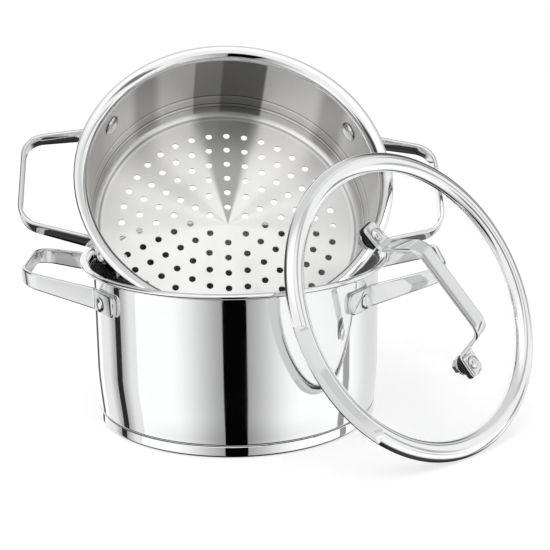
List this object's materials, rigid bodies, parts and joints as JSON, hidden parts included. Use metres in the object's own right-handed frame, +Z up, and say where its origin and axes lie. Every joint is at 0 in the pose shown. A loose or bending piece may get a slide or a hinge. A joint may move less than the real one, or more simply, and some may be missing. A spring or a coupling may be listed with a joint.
{
  "type": "steamer pot",
  "caption": "Stainless steel pot with strap handles, a perforated steamer insert tipped up in its mouth and a glass lid with a bridge handle leaning beside it.",
  "frame": {"origin": "centre of the underside of the pot's base", "axes": "+Z up along the pot's axis, +X towards the pot's right-hand handle, -Y towards the side that the steamer's mouth faces"},
  "size_m": [0.3544, 0.2484, 0.25],
  "materials": {
    "polished_steel": "mirror polished stainless steel",
    "satin_steel": "satin stainless steel, brushed in rings",
    "core_aluminium": "plain, hidden inside the base",
    "clear_glass": "clear and polished",
    "black_rubber": "matte"
  },
  "bodies": {
    "pot": {"pot_body": "polished_steel", "base_core": "core_aluminium", "base_cap": "polished_steel", "pot_handle_right": "polished_steel", "pot_handle_left": "polished_steel", "pot_rivet_right_front": "polished_steel", "pot_rivet_right_back": "polished_steel", "pot_rivet_left_front": "polished_steel", "pot_rivet_left_back": "polished_steel"},
    "steamer": {"steamer_body": "satin_steel", "steamer_handle_right": "polished_steel", "steamer_handle_left": "polished_steel", "steamer_rivet_right_front": "polished_steel", "steamer_rivet_right_back": "polished_steel", "steamer_rivet_left_front": "polished_steel", "steamer_rivet_left_back": "polished_steel"},
    "lid": {"lid_glass": "clear_glass", "lid_rim": "polished_steel", "lid_handle": "polished_steel", "lid_gasket_upper": "black_rubber", "lid_gasket_lower": "black_rubber", "lid_screw_upper": "polished_steel", "lid_screw_lower": "polished_steel", "lid_washer_upper": "satin_steel", "lid_washer_lower": "satin_steel", "lid_nut_upper": "satin_steel", "lid_nut_lower": "satin_steel"}
  },
  "joints": [
    {"name": "steamer_lift", "type": "slide", "parent": "pot", "child": "steamer", "axis": [-0.1576, 0.7314, 0.6635], "range_m": [0, 0.2]},
    {"name": "lid_lift", "type": "slide", "parent": "pot", "child": "lid", "axis": [0.5709, -0.6637, 0.4833], "range_m": [0, 0.15]}
  ]
}
